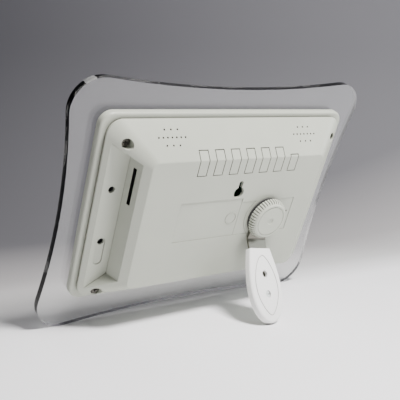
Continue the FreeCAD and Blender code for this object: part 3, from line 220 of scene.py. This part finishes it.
def metal(name, colour, roughness, brushing=(1, 1, 1), scale=400.0):
    """Metal with streaks, which are drawn out where it is brushed."""
    material, tree, shader = new_material(name)
    streaks = noise(tree, scale, detail=6.0, stretch=brushing)
    tint = ramp(tree, streaks, [(0.25, shade_of(colour, 0.86)), (0.75, shade_of(colour, 1.06))])
    tree.links.new(tint, shader.inputs["Base Color"])
    polish = spread(tree, streaks, low=roughness * 0.7, high=roughness * 1.35)
    tree.links.new(polish, shader.inputs["Roughness"])
    shader.inputs["Metallic"].default_value = 1.0
    bump(tree, shader, streaks, strength=0.15, distance=0.00002)
    return material


def foam(name, colour):
    """Foam or rubber: dull, with small dark cells."""
    material, tree, shader = new_material(name)
    cells = noise(tree, scale=3200.0, detail=3.0)
    tint = ramp(tree, cells, [(0.35, shade_of(colour, 0.6)), (0.65, shade_of(colour, 1.1))])
    tree.links.new(tint, shader.inputs["Base Color"])
    shader.inputs["Roughness"].default_value = 0.95
    bump(tree, shader, cells, strength=0.6, distance=0.0001)
    return material


def clear_acrylic():
    """Polished cast sheet: clear, with a trace of haze."""
    material, tree, shader = new_material("clear_acrylic")
    shader.inputs["Base Color"].default_value = (0.985, 0.992, 0.99, 1)
    shader.inputs["Transmission Weight"].default_value = 1.0
    shader.inputs["IOR"].default_value = 1.49
    haze = noise(tree, scale=14.0, detail=6.0)
    tree.links.new(spread(tree, haze, low=0.0, high=0.03), shader.inputs["Roughness"])
    return material


def circuit_board():
    """Green solder mask over a maze of paler tracks."""
    material, tree, shader = new_material("green_board")
    place = tree.nodes.new("ShaderNodeTexCoord")
    tracks = tree.nodes.new("ShaderNodeTexBrick")
    tracks.inputs["Scale"].default_value = 160.0
    tracks.inputs["Mortar Size"].default_value = 0.03
    tracks.inputs["Color1"].default_value = (0.02, 0.17, 0.07, 1)
    tracks.inputs["Color2"].default_value = (0.03, 0.20, 0.09, 1)
    tracks.inputs["Mortar"].default_value = (0.07, 0.34, 0.16, 1)
    tree.links.new(place.outputs["Object"], tracks.inputs["Vector"])
    tree.links.new(tracks.outputs["Color"], shader.inputs["Base Color"])
    gloss = noise(tree, scale=300.0)
    tree.links.new(spread(tree, gloss, low=0.22, high=0.4), shader.inputs["Roughness"])
    return material


def dark_glass():
    """The display, switched off."""
    material, tree, shader = new_material("display_glass")
    stops = [(0.3, (0.010, 0.011, 0.014)), (0.7, (0.016, 0.017, 0.021))]
    tint = ramp(tree, noise(tree, scale=20.0), stops)
    tree.links.new(tint, shader.inputs["Base Color"])
    shader.inputs["Roughness"].default_value = 0.12
    shader.inputs["Coat Weight"].default_value = 1.0
    shader.inputs["Coat Roughness"].default_value = 0.03
    return material


def paint_slot_shade(material):
    """Painted shade: blacken the walls of the card slot, where shade falls inside it."""
    tree = material.node_tree
    place = tree.nodes.new("ShaderNodeTexCoord").outputs["Object"]
    level = along(tree, place, REAR, PANEL_BACK)
    height = along(tree, place, UP, MIDDLE)
    sideways = along(tree, place, SIDEWAYS)
    top_level = SLOT_LEVEL + SLOT_WIDTH + SLOT_MARGIN
    upper_end = SLOT_LOW + SLOT_LENGTH + SLOT_MARGIN
    in_width = inside(tree, level, SLOT_LEVEL - SLOT_MARGIN, top_level)
    in_length = inside(tree, height, SLOT_LOW - SLOT_MARGIN, upper_end)
    in_side = inside(tree, sideways, SLOT_INNER, SLOT_OUTER)
    slot = both(tree, both(tree, in_width, in_length), in_side)
    darken(tree, slot, [(0.4, UNSHADED), (0.6, SLOT_SHADE_COLOUR)])


def paint_gap_shade(material):
    """Painted shade at the foot of the gap between bezel and cover, where shade falls."""
    tree = material.node_tree
    place = tree.nodes.new("ShaderNodeTexCoord").outputs["Object"]
    level = along(tree, place, REAR, PANEL_BACK + GAP_LEVEL)
    height = calculate(tree, "MULTIPLY", level, MILLIMETRES)
    darken(tree, height, [(GAP_START, UNSHADED), (GAP_FULL, GAP_SHADE_COLOUR)])


# ---------------------------------------------------------------- the materials

PLASTICS = {
    "bezel_abs": dict(colour=WHITE, roughness=0.34, edge=0.0005),
    "white_abs": dict(colour=WHITE, roughness=0.34, edge=0.0005),
    "key_abs": dict(colour=shade_of(WHITE, 1.02), roughness=0.38, edge=0.0004),
    "knob_abs": dict(colour=shade_of(WHITE, 1.08), roughness=0.36, edge=0.0003),
    "leg_abs": dict(colour=(0.80, 0.80, 0.78), roughness=0.34, edge=0.0005),
    "plunger_plastic": dict(colour=(0.03, 0.03, 0.03), roughness=0.3),
    "light_guide": dict(colour=(0.72, 0.73, 0.73), roughness=0.3),
    "flex_film": dict(colour=(0.55, 0.27, 0.05), roughness=0.28),
    "chip_black": dict(colour=(0.025, 0.025, 0.028), roughness=0.5, grain=5000.0),
    "socket_black": dict(colour=(0.02, 0.02, 0.02), roughness=0.45),
    "speaker_black": dict(colour=(0.03, 0.03, 0.03), roughness=0.6),
}

METALS = {
    "zinc_steel": dict(colour=(0.66, 0.66, 0.63), roughness=0.28),
    # A darker copy of the screws' steel, as painted shade for the deep corner wells they sit in.
    "dull_steel": dict(colour=(0.10, 0.095, 0.085), roughness=0.42),
    "socket_steel": dict(colour=(0.62, 0.62, 0.62), roughness=0.3, brushing=(1, 12, 12)),
    "cell_steel": dict(colour=(0.70, 0.70, 0.68), roughness=0.25, brushing=(12, 1, 1)),
    "brass": dict(colour=(0.72, 0.52, 0.20), roughness=0.3),
    "bracket_steel": dict(
        colour=(0.17, 0.165, 0.14), roughness=0.33, brushing=(14, 1, 1), scale=300.0
    ),
}

FOAMS = {
    "foam_tape": dict(colour=(0.75, 0.75, 0.72)),
    "black_foam": dict(colour=(0.03, 0.03, 0.03)),
    "rubber_washer": dict(colour=(0.05, 0.05, 0.05)),
}

MATERIALS = {
    "clear_acrylic": clear_acrylic(),
    "display_glass": dark_glass(),
    "green_board": circuit_board(),
}
for kind, table in ((plastic, PLASTICS), (metal, METALS), (foam, FOAMS)):
    for name, values in table.items():
        MATERIALS[name] = kind(name, **values)

paint_gap_shade(MATERIALS["bezel_abs"])
paint_slot_shade(MATERIALS["white_abs"])

# Pieces whose material differs from the rest of their material slot, to carry painted shade:
# the case screws for their deep corner wells, and the bezel for the gap under the cover.
PAINTED_SHADE_MATERIALS = {"case_screws": "dull_steel", "front_bezel": "bezel_abs"}

for entry in frame["record"]["subparts"]:
    node = nodes[entry["node"]]
    node.data.materials.clear()
    node.data.materials.append(MATERIALS[PAINTED_SHADE_MATERIALS.get(entry["node"], entry["material_slot"])])


# ---------------------------------------------------------------- room, light and camera

# The backdrop, in metres: the way it lies from the frame, where it begins and starts to curve up,
# the radius of that curve, how high it rises and half its width.
SWEEP_AWAY = Vector((-0.585, -0.797, 0)).normalized()
SWEEP_NEAR = -1.2
SWEEP_START = 0.24
SWEEP_BEND = 0.22
SWEEP_RISE = 1.2
SWEEP_HALF_WIDTH = 2.0
SWEEP_STEPS = 12

# Its colours, painted shade that deepens with distance into the picture along a line that also leans
# sideways and upwards, where less light reaches.
SHADE_SIDEWAYS = 0.6
SHADE_UPWARDS = 0.7
SHADE_START = 0.04
SWEEP_SHADES = [
    (0.0, (0.92, 0.92, 0.93)),
    (0.06, (0.55, 0.55, 0.54)),
    (0.14, (0.34, 0.33, 0.33)),
    (0.30, (0.13, 0.13, 0.14)),
    (0.85, (0.06, 0.06, 0.07)),
]

# Square soft lights: where each stands, where it points, the length of its side and its power.
LIGHTS = {
    "key_softbox": dict(
        place=(-0.06, 0.40, 0.68), aim=(0.0, 0.03, 0.09), side=0.18, power=15.0,
        colour=(1.0, 0.97, 0.97),
    ),
    "front_softbox": dict(
        place=(0.10, -0.42, 0.72), aim=(0.0, 0.0, 0.09), side=0.30, power=1.1,
        colour=(1.0, 0.99, 0.98),
    ),
    "fill_softbox": dict(
        place=(-0.60, 0.30, 0.26), aim=(0.0, 0.03, 0.06), side=0.30, power=1.4,
        colour=(0.92, 0.98, 1.0),
    ),
}

# The camera, fitted to the outlines in the photograph.
CAMERA_PLACE = Vector((0.2926, 0.38405, 0.15475))
CAMERA_AIM = Vector((0.0294, 0.02525, 0.08855))
CAMERA_ROLL = math.radians(0.82)
CAMERA_LENS = 62.94
CAMERA_SENSOR = 36.0

WORLD_COLOUR = (0.60, 0.62, 0.68, 1)
WORLD_STRENGTH = 0.10


def sweep():
    """A pale floor that curves up into a backdrop behind the frame, with painted shade away from it."""
    side = Vector((-SWEEP_AWAY.y, SWEEP_AWAY.x, 0))
    path = [(SWEEP_NEAR, 0.0), (SWEEP_START, 0.0)]
    for step in range(1, SWEEP_STEPS + 1):
        turn = step / SWEEP_STEPS * math.pi / 2
        forward = SWEEP_START + SWEEP_BEND * math.sin(turn)
        height = SWEEP_BEND - SWEEP_BEND * math.cos(turn)
        path.append((forward, height))
    path.append((SWEEP_START + SWEEP_BEND, SWEEP_RISE))
    points = []
    for forward, height in path:
        for across in (-SWEEP_HALF_WIDTH, SWEEP_HALF_WIDTH):
            spot = SWEEP_AWAY * forward + side * across
            points.append((spot.x, spot.y, height))
    faces = [(2 * row, 2 * row + 1, 2 * row + 3, 2 * row + 2) for row in range(len(path) - 1)]
    mesh = bpy.data.meshes.new("sweep")
    mesh.from_pydata(points, [], faces)
    for face in mesh.polygons:
        face.use_smooth = True
    floor = bpy.data.objects.new("sweep", mesh)
    bpy.context.collection.objects.link(floor)
    material, tree, shader = new_material("paper_sweep")
    place = tree.nodes.new("ShaderNodeTexCoord").outputs["Object"]
    direction = SWEEP_AWAY + side * SHADE_SIDEWAYS + Vector((0, 0, SHADE_UPWARDS))
    depth = along(tree, place, direction, SHADE_START)
    tree.links.new(ramp(tree, depth, SWEEP_SHADES), shader.inputs["Base Color"])
    shader.inputs["Roughness"].default_value = 0.75
    mesh.materials.append(material)


def area_light(name, place, aim, side, power, colour):
    """A square light that points from its place to its aim."""
    data = bpy.data.lights.new(name, "AREA")
    data.shape = "SQUARE"
    data.size = side
    data.energy = power
    data.color = colour
    light = bpy.data.objects.new(name, data)
    light.location = place
    direction = Vector(aim) - Vector(place)
    light.rotation_euler = direction.to_track_quat("-Z", "Y").to_euler()
    bpy.context.collection.objects.link(light)


def make_camera():
    data = bpy.data.cameras.new("camera")
    data.sensor_width = CAMERA_SENSOR
    data.lens = CAMERA_LENS
    camera = bpy.data.objects.new("camera", data)
    turn = (CAMERA_AIM - CAMERA_PLACE).to_track_quat("-Z", "Y").to_matrix().to_4x4()
    roll = Matrix.Rotation(CAMERA_ROLL, 4, "Z")
    camera.matrix_world = Matrix.Translation(CAMERA_PLACE) @ turn @ roll
    bpy.context.collection.objects.link(camera)
    bpy.context.scene.camera = camera


def make_world():
    world = bpy.data.worlds.new("studio")
    world.use_nodes = True
    background = world.node_tree.nodes["Background"]
    background.inputs["Color"].default_value = WORLD_COLOUR
    background.inputs["Strength"].default_value = WORLD_STRENGTH
    bpy.context.scene.world = world


sweep()
make_world()
make_camera()
for name, values in LIGHTS.items():
    area_light(name, **values)
